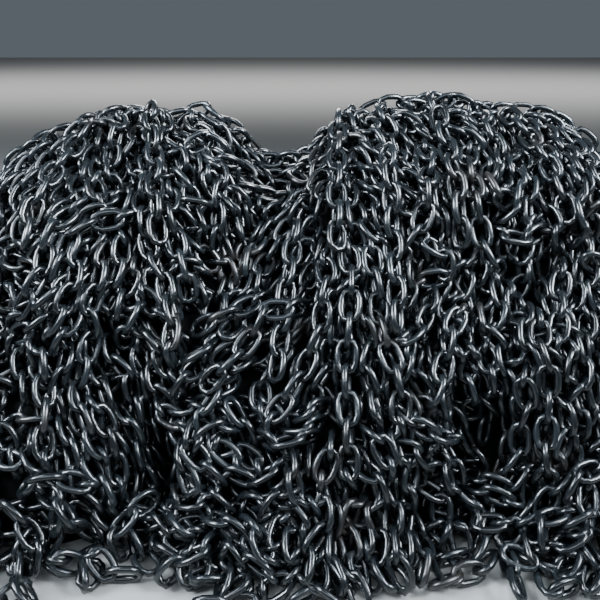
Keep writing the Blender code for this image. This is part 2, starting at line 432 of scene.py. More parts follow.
# Lengths of chain that can be followed in the photograph, read as pixels across and down.
SEEN_STRANDS = (
    ((548, 540), (536, 546), (531, 560), (522, 574), (517, 588)),
    ((514, 572), (509, 586), (512, 596)),
    ((544, 560), (556, 574), (566, 590)),
    ((577, 562), (572, 577), (581, 592)),
    ((597, 556), (592, 572), (598, 588)),
    ((471, 553), (483, 570), (494, 590)),
    ((502, 562), (506, 577), (500, 592)),
    ((526, 578), (541, 583), (556, 590)),
    ((588, 574), (570, 586), (552, 580)),
    ((96, 560), (108, 574), (120, 588)),
    ((60, 566), (78, 580), (98, 590)),
    ((112, 107), (86, 113), (64, 119), (48, 129), (28, 140), (8, 150)),
    ((70, 122), (50, 131), (32, 143), (12, 154)),
    ((226, 106), (236, 122), (252, 136), (270, 147)),
    ((276, 149), (296, 141), (312, 128), (326, 114)),
    ((262, 150), (284, 146), (302, 138)),
    ((560, 107), (580, 118), (597, 136)),
    ((128, 105), (146, 101), (170, 97), (196, 93), (214, 93), (226, 106)),
    ((362, 98), (384, 91), (412, 88), (440, 88), (468, 94)),
    ((478, 97), (506, 103), (536, 105), (560, 107), (580, 118)),
    ((150, 104), (120, 112), (96, 124)),
    ((113, 115), (110, 138), (109, 153), (108, 168)),
    ((96, 111), (63, 124), (46, 140), (25, 161), (8, 182)),
    ((122, 108), (92, 132), (87, 146), (78, 160), (77, 188)),
    ((104, 124), (70, 137), (48, 152), (30, 172), (14, 196)),
    ((94, 157), (96, 174), (98, 192)),
    ((111, 184), (90, 195), (75, 209), (65, 224), (57, 243), (50, 262), (38, 285), (21, 308)),
    ((90, 184), (66, 200), (48, 218), (33, 236)),
    ((121, 205), (98, 214), (80, 226), (66, 250), (52, 282), (40, 304)),
    ((80, 240), (72, 262), (60, 290), (50, 326)),
    ((97, 236), (94, 262), (92, 290), (90, 318), (82, 345), (80, 377), (83, 403), (92, 422), (99, 447)),
    ((109, 240), (107, 262), (104, 280), (105, 300)),
    ((124, 268), (123, 290), (125, 306)),
    ((168, 160), (173, 180), (187, 193), (202, 207), (206, 226)),
    ((210, 166), (220, 186), (230, 206)),
    ((287, 203), (264, 222), (248, 252), (241, 282)),
    ((300, 196), (282, 226), (268, 252), (252, 284)),
    ((40, 345), (41, 377), (44, 404), (40, 434), (38, 455)),
    ((96, 405), (104, 426), (115, 457), (117, 480)),
    ((124, 413), (139, 434), (142, 459), (153, 486)),
    ((178, 424), (187, 440), (185, 455), (193, 474), (197, 490)),
    ((36, 478), (62, 480), (86, 487)),
    ((36, 478), (60, 490), (76, 512)),
    ((199, 537), (186, 556), (178, 572)),
    ((199, 537), (203, 558), (206, 578)),
    ((205, 525), (226, 530), (244, 545), (256, 560)),
    ((344, 135), (372, 143), (392, 151), (407, 167), (422, 180)),
    ((346, 165), (371, 183), (392, 195), (409, 203)),
    ((355, 193), (364, 214), (374, 236), (388, 250)),
    ((426, 214), (434, 233), (441, 262)),
    ((530, 143), (518, 172), (516, 198)),
    ((535, 150), (527, 184), (526, 216)),
    ((540, 150), (543, 176), (549, 196), (558, 224)),
    ((528, 109), (549, 116), (568, 126), (581, 143), (592, 168), (590, 198)),
    ((560, 150), (566, 176), (572, 200), (577, 226)),
    ((431, 92), (468, 98), (506, 108), (528, 130)),
    ((366, 318), (369, 346), (366, 366), (374, 388), (375, 410)),
    ((520, 292), (528, 318), (529, 350), (532, 378), (535, 396)),
    ((558, 333), (573, 348), (578, 372)),
    ((589, 306), (591, 334), (593, 362)),
    ((312, 500), (313, 530), (312, 560), (314, 585)),
    ((332, 496), (334, 526), (333, 558), (335, 588)),
    ((352, 500), (353, 530), (354, 560), (354, 588)),
    ((374, 500), (375, 530), (376, 560), (378, 588)),
    ((395, 492), (398, 524), (398, 556), (400, 586)),
    ((586, 488), (576, 508), (566, 522)),
    ((393, 110), (420, 117), (437, 130), (453, 143), (470, 153)),
    ((420, 100), (443, 120), (460, 133), (473, 147)),
    ((477, 107), (487, 127), (497, 140), (503, 160)),
    ((510, 107), (523, 127), (530, 143), (550, 160), (558, 180), (563, 197)),
    ((543, 120), (563, 140), (577, 160), (583, 183), (577, 207)),
    ((483, 160), (497, 180), (510, 193), (522, 206)),
    ((420, 160), (433, 150), (450, 148), (463, 153)),
    ((353, 190), (365, 200), (377, 213), (382, 227)),
    ((360, 147), (370, 163), (387, 180), (397, 193)),
    ((427, 230), (440, 250), (453, 257), (443, 267), (423, 270)),
    ((507, 233), (530, 230), (550, 225)),
    ((435, 290), (430, 310), (420, 325), (410, 337)),
    ((487, 282), (490, 305), (491, 324)),
    (
        (475, 282), (477, 298), (480, 310), (488, 334), (498, 346), (508, 350), (510, 366), (507, 384),
        (518, 400),
    ),
    ((454, 286), (456, 304), (459, 320), (468, 330), (460, 344)),
    ((466, 270), (470, 282), (462, 296)),
    ((500, 320), (526, 321), (540, 324), (554, 333), (566, 334), (576, 346), (579, 362), (582, 384)),
    ((512, 286), (518, 304), (528, 314)),
    ((528, 330), (522, 348), (516, 364)),
    ((552, 342), (562, 358), (572, 366)),
    ((483, 364), (490, 378), (496, 394)),
    ((492, 346), (494, 362), (500, 384)),
    ((562, 400), (568, 414), (573, 430), (577, 446), (566, 455)),
    ((486, 472), (500, 472), (514, 480), (528, 468)),
    ((488, 484), (502, 493), (516, 494)),
    ((574, 494), (588, 478), (600, 466)),
    ((592, 500), (584, 518), (581, 536)),
    ((570, 514), (558, 530), (542, 542), (534, 556)),
    ((560, 536), (560, 550), (544, 566)),
    ((478, 516), (484, 530), (500, 541)),
    ((162, 402), (168, 413), (184, 416)),
    ((198, 440), (204, 456), (202, 470), (211, 492)),
    ((198, 442), (210, 434), (226, 428)),
    ((210, 440), (214, 454), (226, 464)),
    ((222, 454), (236, 456), (254, 467)),
    ((224, 468), (242, 476), (256, 475), (274, 463)),
    ((268, 406), (270, 421), (284, 427), (302, 421)),
    ((262, 431), (278, 435), (298, 431)),
    ((284, 419), (302, 414), (312, 406)),
    ((172, 494), (184, 502), (195, 514)),
    ((170, 500), (186, 514), (199, 526)),
    ((154, 518), (162, 530), (176, 537)),
    ((174, 531), (186, 529), (200, 525)),
    ((162, 539), (174, 543), (186, 547)),
    ((200, 546), (210, 560), (222, 563)),
    ((208, 530), (220, 535), (232, 541)),
    ((216, 546), (230, 553), (244, 561)),
    ((228, 537), (240, 532), (252, 540), (258, 552)),
    ((232, 566), (244, 578), (254, 586)),
    ((248, 562), (255, 570), (262, 576)),
    ((232, 515), (242, 520), (260, 507)),
    ((258, 524), (264, 512), (282, 505)),
    ((254, 533), (266, 534), (275, 522)),
    ((279, 512), (277, 524), (273, 538)),
    ((286, 506), (292, 516), (299, 527)),
    ((288, 446), (290, 466), (299, 486)),
    ((288, 538), (290, 556), (305, 576)),
    ((416, 456), (410, 482), (408, 506), (410, 540), (412, 570)),
    ((418, 450), (426, 462), (438, 466)),
    ((354, 470), (370, 470), (376, 480), (380, 497)),
    ((416, 418), (426, 436), (438, 446), (447, 440)),
    ((442, 458), (450, 476), (456, 488)),
    ((356, 526), (362, 534), (368, 544)),
    ((274, 585), (286, 594), (300, 587)),
    ((165, 186), (180, 197), (193, 203), (205, 206)),
    ((173, 202), (183, 208), (198, 213)),
    ((190, 141), (208, 136), (221, 147)),
    ((206, 143), (215, 157), (225, 163), (235, 166)),
    ((160, 146), (177, 144), (188, 148), (188, 160)),
    ((228, 178), (237, 190), (243, 202)),
    ((212, 160), (219, 183), (223, 198), (225, 213), (221, 230)),
    ((103, 207), (93, 213), (82, 220), (73, 233), (67, 247), (62, 260)),
    ((100, 223), (90, 235), (82, 247)),
    ((81, 230), (75, 248), (68, 262)),
    ((80, 257), (70, 273), (60, 287), (50, 295), (40, 305)),
    ((90, 257), (87, 267), (78, 277), (73, 290), (67, 302), (62, 315), (54, 326)),
    ((8, 247), (22, 260), (40, 266)),
    ((12, 241), (34, 240), (52, 233)),
    ((24, 265), (28, 276), (40, 278)),
    ((12, 281), (13, 297), (22, 306), (36, 298)),
    ((144, 284), (152, 298), (160, 310)),
    ((118, 296), (130, 296), (138, 304), (134, 318), (126, 326)),
    ((224, 264), (228, 274), (238, 282)),
    ((176, 262), (186, 256), (200, 258)),
    ((60, 146), (44, 152), (31, 162), (18, 173), (9, 184)),
    ((56, 196), (50, 206), (47, 222)),
    ((30, 190), (28, 204), (27, 218)),
    ((42, 186), (39, 204), (36, 220)),
    ((352, 101), (345, 114), (346, 130), (343, 146), (339, 157)),
    ((421, 418), (432, 442)),
)

# Lengths whose links show open and on edge by turns, each starting with an open link. In about nine of
# them that link isn't clearly seen, and was added over the first clear one.
OPEN_STRANDS = (
    (
        (160, 112), (156, 129), (152, 146), (152, 160), (153, 178), (153, 200), (153, 221), (155, 252),
        (162, 271), (168, 296), (172, 318), (170, 344),
    ),
    ((172, 184), (173, 207), (174, 235), (178, 262), (186, 280)),
    ((259, 294), (232, 311), (208, 317)),
    ((294, 305), (273, 327), (250, 342), (229, 364), (210, 374)),
    ((338, 157), (341, 178), (343, 201), (352, 228), (369, 246)),
    ((425, 143), (422, 165), (420, 191), (416, 217), (409, 243), (394, 265)),
    ((462, 148), (467, 167), (476, 192), (480, 220), (482, 243), (494, 266)),
    ((331, 254), (330, 277), (326, 299), (321, 327), (311, 348), (299, 378), (287, 398), (276, 415)),
    (
        (352, 243), (353, 267), (350, 290), (349, 313), (347, 338), (346, 362), (346, 388), (350, 418),
        (351, 446), (346, 475),
    ),
    ((369, 242), (374, 265), (381, 287), (386, 310), (391, 333), (397, 360), (404, 385), (412, 414)),
    ((459, 312), (453, 332), (446, 357), (438, 382), (430, 396)),
    ((476, 347), (478, 371), (479, 403)),
    ((530, 312), (534, 336), (543, 361), (546, 388), (547, 418), (549, 447), (542, 473)),
    ((526, 378), (524, 400), (522, 420), (519, 452), (515, 470)),
    ((563, 268), (560, 290), (556, 311), (553, 332)),
    ((331, 449), (326, 479)),
    ((379, 434), (392, 460)),
)

# Directions in which the chain lies where no one length can be followed, as lines in the same pixels.
SEEN_GRAIN = (
    ((468, 548), (486, 520), (500, 492)),
    ((500, 580), (520, 548), (536, 516)),
    ((545, 590), (560, 556), (574, 530)),
    ((575, 470), (584, 440), (590, 412)),
    ((176, 500), (210, 512), (244, 530)),
    ((212, 470), (246, 480), (276, 496)),
    ((236, 560), (262, 574), (288, 592)),
    ((150, 346), (176, 356), (196, 372)),
    ((190, 396), (216, 384), (246, 372)),
    ((200, 330), (226, 322), (250, 312)),
    ((226, 392), (256, 380), (280, 366)),
    ((4, 400), (24, 412), (30, 426)),
    ((0, 520), (24, 524), (50, 520)),
    ((60, 560), (84, 550), (110, 540)),
    ((300, 236), (286, 262), (276, 290)),
    ((236, 196), (228, 220), (220, 250)),
    ((452, 110), (486, 120), (520, 136)),
    ((372, 104), (410, 100), (446, 104)),
    ((400, 120), (424, 136), (440, 154)),
)


class Combing:
    """How the chain lies round the lengths that the photograph shows: nearby chain runs along with them."""

    def __init__(self, strands: list[Array], reach: float, pull: float = 1.4) -> None:
        """Keeps the middle and direction of each link of the strands.

        Args:
            strands: Rows of hooking points.
            reach: Distance over which a strand guides its neighbours.
            pull: How much the guide counts, for a sum of weighted directions that is one long.
        """
        self.middles = np.concatenate([(s[1:] + s[:-1]) / 2 for s in strands])
        self.ways = np.concatenate([unit(s[1:] - s[:-1]) for s in strands])
        self.reach = reach
        self.pull = pull

    def guide(self, point: Array, way: Array) -> tuple[Array, float]:
        """Adds up the strands' directions near a point, each weighted by exp(-(distance / reach)^2).

        Args:
            point: Place of the chain being laid.
            way: Its present direction, which says which way along the strands is meant.

        Returns:
            The direction wished for, and how much it counts, from 0 to 1.
        """
        far = np.linalg.norm(self.middles - point, axis=1) / self.reach
        weight = np.exp(-far * far)
        ways = self.ways * np.where(self.ways @ way < 0, -1.0, 1.0)[:, None]
        wish = (ways * weight[:, None]).sum(axis=0)
        return unit(wish + TINY), float(min(1.0, self.pull * np.linalg.norm(wish)))


class Steering(Enum):
    """How a length of chain finds its way over the mound."""

    DRAPED = "falls from the crest down the slope, with some wander"
    LOOPED = "keeps turning, as chain that was dropped in a coil"


@dataclass(frozen=True)
class Layer:
    """A layer of chain laid over the mound.

    Attributes:
        steering: How its lengths run.
        depth: How deep their middle line lies under the surface.
        waves: How far the middle line rises and sinks about that depth, before the settling.
        spacing: Least distance of a new length's start from the layer's other lengths. Further on, the
            length may come as near to them as a share of it.
        wander: How far a length strays from its line, in radians.
        seed: Start of the random numbers.
        tries: How many places are tried as a start.
        longest: Most links in one length.
        shortest: Fewest links that are kept.
        tier: The tier that it lies in.
        highest: Height over the floor up to which lengths start.
        apron: How far beyond the foot the layer reaches, as a multiple of the heap's size.
        behind: How much more openly the heap's back is laid, as a multiple of the spacing.
        back: Where the back begins, on Y.
        foot: Height of the mound that a start has to be over, once it is drawn in by the apron.
        aside: The field that turns lengths aside: number added to the seed, shortest and longest wave.
        tangled: The same of the field that says where chain is tangled.
    """

    steering: Steering
    depth: float
    waves: float
    spacing: float
    wander: float
    seed: int
    tries: int
    longest: int
    shortest: int
    tier: Tier
    highest: float = 2.0
    apron: float = 1.0
    behind: float = 1.11
    back: float = 0.15
    foot: float = 0.02
    aside: tuple[int, float, float] = (50, 0.16, 0.60)
    tangled: tuple[int, float, float] = (90, 0.22, 0.50)

    def spacing_at(self, point: Array) -> float:
        """Gives the spacing at a point, which is wider behind the crest."""
        return self.spacing * (self.behind if point[1] > self.back else 1.0)

    def fields(self) -> tuple[Ripples, Ripples]:
        """Gives the fields that turn its lengths aside, and that say where its chain is tangled."""
        aside = Ripples(self.seed + self.aside[0], *self.aside[1:])
        return aside, Ripples(self.seed + self.tangled[0], *self.tangled[1:])

    def lay(self, mound: Mound, form: LinkForm, combing: Combing, placed: list[Strand]) -> list[Strand]:
        """Starts lengths at random places and walks each, draped ones both ways, until it meets another.

        Args:
            mound: The surface.
            form: The link.
            combing: The lengths seen in the photograph.
            placed: Lengths that count as the layer's own when distances are kept.

        Returns:
            The lengths of chain.
        """
        chance = np.random.default_rng(self.seed)
        fields = self.fields()
        taken = np.concatenate([np.empty((0, 3))] + [strand.hooks for strand in placed])
        strands: list[Strand] = []
        limit = mound.half_sizes
        for start in chance.uniform(-limit, limit, (self.tries, 2)) * self.apron:
            if mound.lookup(mound.heights, start[None] / self.apron)[0] <= self.foot:
                continue
            if mound.lookup(mound.heights, start[None])[0] >= self.highest:
                continue
            walker = Walker(mound, form, self, combing, fields, chance)
            seat = walker.seat(start, 0)[0]
            if len(taken) and np.linalg.norm(taken - seat, axis=1).min() < self.spacing_at(start):
                continue
            links = int(chance.integers(self.shortest, self.longest + 1))
            ahead = walker.walk(start, 1, links, taken)
            back: list[Array] = []
            if self.steering is Steering.DRAPED:
                back = walker.walk(start, -1, links - len(ahead), taken)
            hooks = np.array(back[::-1] + [seat] + ahead)
            if len(hooks) <= self.shortest:
                continue
            taken = np.concatenate([taken, hooks])
            strands.append(Strand(hooks, *Lie.drawn(chance), self.tier))
        return strands


class Walker:
    """Lays one length of chain, a hooking point after another."""

    # Turn of a coil from one link to the next, and how far a single turn strays, in radians.
    CURL = (0.20, 0.75)
    CURL_STRAY = 0.25
    # How far a draped length's own course strays from the fall of the slope, in radians.
    LEAN_STRAY = 0.36
    # Angle by which the rise and fall of a length goes on from one link to the next, in radians.
    WAVE = (0.7, 1.5)
    # Slope up to which chain goes straight over the crest, and the further slope until it only falls.
    LEVEL_SLOPE = 0.25
    SLOPE_BLEND = 0.55
    # Least upward part of a normal, which bounds the slope.
    LEAST_RISE = 0.05
    # Tangle at the floor before it is limited to one, the height over which it falls by one, and how much of
    # the field is added to it.
    FLOOR_TANGLE = 1.4
    TANGLE_HEIGHT = 0.62
    TANGLE_FIELD = 0.8
    # Shares of the steady and the tangled part in how far a length turns aside, and in each link's own stray.
    ASIDE = (0.5, 2.5)
    LINK_STRAY = (0.06, 0.30)
    # Share of the present direction in the next one.
    STEADY = 0.5
    # Bounds of the factor that brings a step over uneven ground to a link's length.
    STRETCH = (0.6, 1.6)
    # Height of the mound that counts as floor, and how many points may lie there.
    FLOOR = 0.004
    MOST_ON_FLOOR = 1
    # Share of the spacing at which a length stops short of another.
    STOP_SHARE = 0.55
    # Distance at which a length stops short of itself, and how many of its last points don't count.
    OWN_DISTANCE = 0.03
    OWN_LAST = 3

    def __init__(self, mound: Mound, form: LinkForm, layer: Layer, combing: Combing,
                 fields: tuple[Ripples, Ripples], chance: np.random.Generator) -> None:
        """Draws the habits of this length.

        Args:
            mound: The surface.
            form: The link.
            layer: The layer that it belongs to.
            combing: The lengths seen in the photograph.
            fields: Fields that turn lengths aside, and that say where chain is tangled.
            chance: Random numbers.
        """
        self.mound = mound
        self.form = form
        self.layer = layer
        self.combing = combing
        self.fields = fields
        self.chance = chance
        self.heading = chance.uniform(0, 2 * math.pi)
        self.curl = chance.choice([-1.0, 1.0]) * chance.uniform(*self.CURL)
        self.lean = chance.normal(0, self.LEAN_STRAY)
        self.wave = (chance.uniform(*self.WAVE), chance.uniform(0, 2 * math.pi))

    def seat(self, xy: Array, number: int) -> tuple[Array, Array]:
        """Finds a hooking point under the surface, at the layer's depth + waves * sin(number * w + phase).

        Args:
            xy: Point (2,) of the floor.
            number: Number of the point along the length.

        Returns:
            The point and the surface's normal.
        """
        base, normal = self.mound.surface(xy[None])
        depth = self.layer.depth + self.layer.waves * math.sin(number * self.wave[0] + self.wave[1])
        point = base[0] - normal[0] * depth
        point[2] = max(point[2], HOOK_HEIGHT)
        return point, normal[0]

    def fall(self, normal: Array) -> Array:
        """Gives the way down the slope, and straight over the crest where there is no slope.

        Args:
            normal: The surface's normal.

        Returns:
            A unit direction in the surface.
        """
        slope = np.array([normal[0], normal[1]]) / max(normal[2], self.LEAST_RISE)
        steep = np.linalg.norm(slope)
        down = slope / max(steep, SMALL)
        over = np.array([0.0, 1.0 if down[1] >= 0 else -1.0])
        share = np.clip((steep - self.LEVEL_SLOPE) / self.SLOPE_BLEND, 0.0, 1.0)
        plan = share * down + (1 - share) * over
        level = np.array([plan[0], plan[1], 0.0])
        return unit(level - normal * (level @ normal))

    def steer(self, point: Array, normal: Array, way: Array) -> Array:
        """Chooses the next direction of a draped length.

        Down the slope, turned aside by the fields and the length's own lean, more so where chain is tangled,
        and drawn along the nearest lengths seen in the photograph.

        Args:
            point: The present hooking point.
            normal: The surface's normal there.
            way: The present direction.

        Returns:
            A direction.
        """
        fall = self.fall(normal)
        if fall @ way < 0:
            fall = -fall
        xy = point[None, :2]
        low_down = np.clip(self.FLOOR_TANGLE - point[2] / self.TANGLE_HEIGHT, 0.0, 1.0)
        tangle = np.clip(self.fields[1].value(xy)[0] * self.TANGLE_FIELD + low_down, 0.0, 1.0)
        aside = self.fields[0].value(xy)[0] * self.layer.wander + self.lean
        aside *= self.ASIDE[0] + self.ASIDE[1] * tangle
        aside += self.chance.normal(0, self.LINK_STRAY[0] + self.LINK_STRAY[1] * tangle)
        side = np.cross(normal, fall)
        wish = fall * math.cos(aside) + side * math.sin(aside)
        guide, share = self.combing.guide(point, way)
        wish = unit((1 - share) * wish + share * guide)
        return unit(self.STEADY * way + (1 - self.STEADY) * wish)

    def turned(self, way: Array, normal: Array, angle: float) -> Array:
        """Turns a direction in the surface: way * cos angle + (normal x way) * sin angle.

        Args:
            way: The direction.
            normal: The surface's normal.
            angle: The angle in radians.

        Returns:
            A unit direction.
        """
        return unit(way * math.cos(angle) + np.cross(normal, way) * math.sin(angle))

    def blocked(self, after: Array, placed: list[Array], taken: Array) -> bool:
        """Says whether the next hooking point would come too near to the layer's other lengths.

        A draped length also keeps clear of itself. A looped one may cross itself.

        Args:
            after: The next hooking point.
            placed: The points of this length so far.
            taken: Points of the layer's other lengths.

        Returns:
            True if it does.
        """
        least = self.STOP_SHARE * self.layer.spacing_at(after)
        if len(taken) and np.linalg.norm(taken - after, axis=1).min() < least:
            return True
        if self.layer.steering is Steering.LOOPED or len(placed) <= self.OWN_LAST + 1:
            return False
        own = np.array(placed[:-self.OWN_LAST]) - after
        return bool(np.linalg.norm(own, axis=1).min() < self.OWN_DISTANCE)

    def walk(self, start: Array, sign: int, room: int, taken: Array) -> list[Array]:
        """Sets hooking points a pitch apart until the chain is blocked or long enough.

        Args:
            start: Where the walk starts, a point (2,) of the floor.
            sign: 1 to walk down first, -1 to walk up first.
            room: Most links to set.
            taken: Points of the layer's other lengths.

        Returns:
            The hooking points after the start.
        """
        pitch = self.form.inner_length
        looped = self.layer.steering is Steering.LOOPED
        xy = start.copy()
        point, normal = self.seat(xy, 0)
        way = self.fall(normal) * sign
        if looped:
            way = self.turned(way, normal, self.heading)
        placed: list[Array] = []
        on_floor = 0
        for number in range(1, room + 1):
            if looped:
                way = self.turned(way, normal, self.curl + self.chance.normal(0, self.CURL_STRAY))
            else:
                way = self.steer(point, normal, way)
            way = unit(way - normal * (way @ normal))
            after = self.seat(xy + way[:2] * pitch, sign * number)[0]
            # The step over the floor is corrected once by how far the point that it leads to is away.
            step = max(float(np.linalg.norm(after - point)), 1e-4)
            xy = xy + way[:2] * pitch * np.clip(pitch / step, *self.STRETCH)
            after, normal = self.seat(xy, sign * number)
            on_floor += self.mound.lookup(self.mound.heights, xy[None] / self.layer.apron)[0] < self.FLOOR
            if on_floor > self.MOST_ON_FLOOR or self.blocked(after, placed, taken):
                break
            way = unit(after - point)
            point = after
            placed.append(after)
        return placed


@dataclass
class Settling:
    """Eases the lengths of chain apart without stretching them.

    Hooking points and the middles of links are small balls. In each round they sink a little, balls that
    overlap move apart, points under the dark heart or over the loose top are brought back, and then each
    link is brought back to its length. The part's own runs stay where they are. A link is 58 mm wide and a
    ball 31 mm, so this doesn't free the links of each other: nearly all still run into others.

    Attributes:
        mound: The surface.
        form: The link.
        ball: Distance between two chains' middle lines under which they are pushed apart.
        deepest: Depth under the surface that points are brought back to.
        highest: Height over it.
        sink: How far a point sinks along the surface's normal in a round.
        drop: How far it sinks straight down.
        eager: Multiple of a push that is made in a round.
        crowding: Power of the number of pushes on a ball that their sum is divided by.
        most: Longest push of a point along an axis in a round.
        near_links: Links along a length that don't push each other.
        overhang: How far points may lie outside the box round the mound's plan.
        fixes: How often the links are brought back to their length in a round, and in the last one.
    """

    mound: Mound
    form: LinkForm
    ball: float = 0.031
    deepest: float = 0.105
    highest: float = 0.028
    sink: float = 0.0003
    drop: float = 0.0002
    eager: float = 1.2
    crowding: float = 0.7
    most: float = 0.008
    near_links: float = 2.2
    overhang: float = 0.028
    fixes: tuple[int, int] = (4, 30)

    @staticmethod
    def near_pairs(points: Array, reach: float) -> tuple[Array, Array]:
        """Lists the pairs of points closer than a distance, by sorting them into cubic cells.

        Args:
            points: Points (n, 3).
            reach: The distance, which is also a cell's edge.

        Returns:
            Two rows of indices, a pair in each column.
        """
        cell = np.floor((points - points.min(axis=0)) / reach).astype(np.int64) + 1
        wide = cell.max(axis=0) + 2
        key = (cell[:, 0] * wide[1] + cell[:, 1]) * wide[2] + cell[:, 2]
        order = np.argsort(key, kind="stable")
        key = key[order]
        firsts, seconds = [], []
        own = (0, 0, 0)
        steps = [(x, y, z) for x in (0, 1) for y in (-1, 0, 1) for z in (-1, 0, 1)]
        for step in steps:
            if step < own:
                continue
            shift = (step[0] * wide[1] + step[1]) * wide[2] + step[2]
            low = np.searchsorted(key, key + shift, "left")
            high = np.searchsorted(key, key + shift, "right")
            if step == own:
                low = np.arange(len(key)) + 1
            count = np.maximum(high - low, 0)
            first = np.repeat(np.arange(len(key)), count)
            begin = np.cumsum(count) - count
            second = np.arange(count.sum()) - np.repeat(begin, count) + np.repeat(low, count)
            firsts.append(order[first])
            seconds.append(order[second])
        first = np.concatenate(firsts)
        second = np.concatenate(seconds)
        close = np.linalg.norm(points[first] - points[second], axis=1) < reach
        return first[close], second[close]

    def pushes(self, balls: Array, heft: Array, whose: Array, row: Array) -> Array:
        """Works out how far each ball moves in a round.

        Two balls that overlap move apart along the line between them, and share out the overlap by how
        easily each is pushed. A ball's moves are added up, times eager, over their number to the power of
        crowding.

        Args:
            balls: Middles of the balls (n, 3).
            heft: How easily each is pushed, 0 for those that stay.
            whose: Number of each ball's length, -1 for those that stay.
            row: Place of each ball along all the lengths.

        Returns:
            Moves (n, 3).
        """
        a, b = self.near_pairs(balls, self.ball)
        apart = (whose[a] != whose[b]) | (np.abs(row[a] - row[b]) > self.near_links)
        apart &= (whose[a] >= 0) | (whose[b] >= 0)
        a, b = a[apart], b[apart]
        gap = balls[a] - balls[b]
        far = np.linalg.norm(gap, axis=1)
        push = gap / np.maximum(far, SMALL)[:, None] * (self.ball - far)[:, None]
        both = (heft[a] + heft[b])[:, None]
        move = np.zeros_like(balls)
        hit = np.zeros(len(balls))
        for index, part in ((a, push * heft[a][:, None] / both), (b, -push * heft[b][:, None] / both)):
            for axis in range(3):
                move[:, axis] += np.bincount(index, part[:, axis], minlength=len(balls))
            hit += np.bincount(index, minlength=len(balls))
        return move * (self.eager / np.maximum(hit, 1.0)[:, None] ** self.crowding)

    def settle(self, strands: list[Strand], still: Array, rounds: int) -> None:
        """Moves the strands' hooking points, in place.

        Args:
            strands: The lengths of chain.
            still: Points (n, 3) of chain that doesn't move.
            rounds: How many rounds are made.
        """
        hooks = np.concatenate([s.hooks for s in strands])
        lengths = np.array([len(s.hooks) for s in strands])
        owner = np.repeat(np.arange(len(strands)), lengths)
        weight = np.repeat([s.tier.give for s in strands], lengths)
        first = np.nonzero(owner[:-1] == owner[1:])[0]
        total = len(hooks) + len(first)
        heft = np.concatenate([weight, weight[first], np.zeros(len(still))])
        whose = np.concatenate([owner, owner[first], np.full(len(still), -1)])
        row = np.concatenate([np.arange(len(hooks)), first + 0.5, np.zeros(len(still))])
        for turn in range(rounds):
            hooks -= self.mound.surface(hooks[:, :2])[1] * self.sink
            hooks[:, 2] -= self.drop
            middles = (hooks[first] + hooks[first + 1]) / 2
            move = self.pushes(np.concatenate([hooks, middles, still]), heft, whose, row)
            shift = move[:len(hooks)].copy()
            swing = move[len(hooks):total]
            for axis in range(3):
                shift[:, axis] += np.bincount(first, swing[:, axis], minlength=len(hooks))
                shift[:, axis] += np.bincount(first + 1, swing[:, axis], minlength=len(hooks))
            hooks += np.clip(shift, -self.most, self.most)
            self.limit(hooks)
            for _ in range(self.fixes[0] if turn < rounds - 1 else self.fixes[1]):
                self.keep_length(hooks, first)
        for strand, part in zip(strands, np.split(hooks, np.cumsum(lengths)[:-1])):
            strand.hooks = part

    def limit(self, hooks: Array) -> None:
        """Brings points back between the dark heart and the loose top, off the floor, and into the box.

        Args:
            hooks: Points (n, 3), changed in place.
        """
        out, normals = self.mound.above(hooks)
        hooks += normals * (np.clip(out, -self.deepest, self.highest) - out)[:, None]
        hooks[:, 2] = np.maximum(hooks[:, 2], HOOK_HEIGHT)
        room = self.mound.half_sizes + self.overhang
        hooks[:, :2] = np.clip(hooks[:, :2], -room, room)

    def keep_length(self, hooks: Array, first: Array) -> None:
        """Brings every link back to its length: the even links first, then the odd ones.

        Args:
            hooks: Points (n, 3), changed in place.
            first: Index of each link's first point.
        """
        for half in (first[first % 2 == 0], first[first % 2 == 1]):
            line = hooks[half + 1] - hooks[half]
            far = np.linalg.norm(line, axis=1, keepdims=True)
            fix = line / np.maximum(far, SMALL) * (far - self.form.inner_length) * 0.5
            hooks[half] += fix
            hooks[half + 1] -= fix


# Finishes


def linear(code: str) -> tuple[float, float, float, float]:
    """Turns an sRGB hex colour to linear light.

    Args:
        code: Six hex digits.

    Returns:
        Red, green, blue and an alpha of one.
    """
    parts = [int(code[i:i + 2], 16) / 255 for i in (0, 2, 4)]
    made = [p / 12.92 if p <= 0.04045 else ((p + 0.055) / 1.055) ** 2.4 for p in parts]
    return made[0], made[1], made[2], 1.0


def add_node(material: bpy.types.Material, kind: str, settings: dict[str, Any] | None = None,
             **links: Any) -> bpy.types.Node:
    """Adds a node with its settings and links.

    Args:
        material: The material.
        kind: The node's type name.
        settings: Attributes of the node, and values of its inputs by name.
        links: Inputs by name, spaces as underscores, each with a socket that feeds it.

    Returns:
        The node.
    """
    tree = material.node_tree
    node = tree.nodes.new(kind)
    for name, value in (settings or {}).items():
        if hasattr(node, name):
            setattr(node, name, value)
        else:
            node.inputs[name].default_value = value
    for name, socket in links.items():
        tree.links.new(socket, node.inputs[name.replace("_", " ")])
    return node


def new_material(name: str) -> tuple[bpy.types.Material, bpy.types.Node]:
    """Starts a material and gives it with its shader."""
    made = bpy.data.materials.new(name)
    made.use_nodes = True
    return made, made.node_tree.nodes["Principled BSDF"]


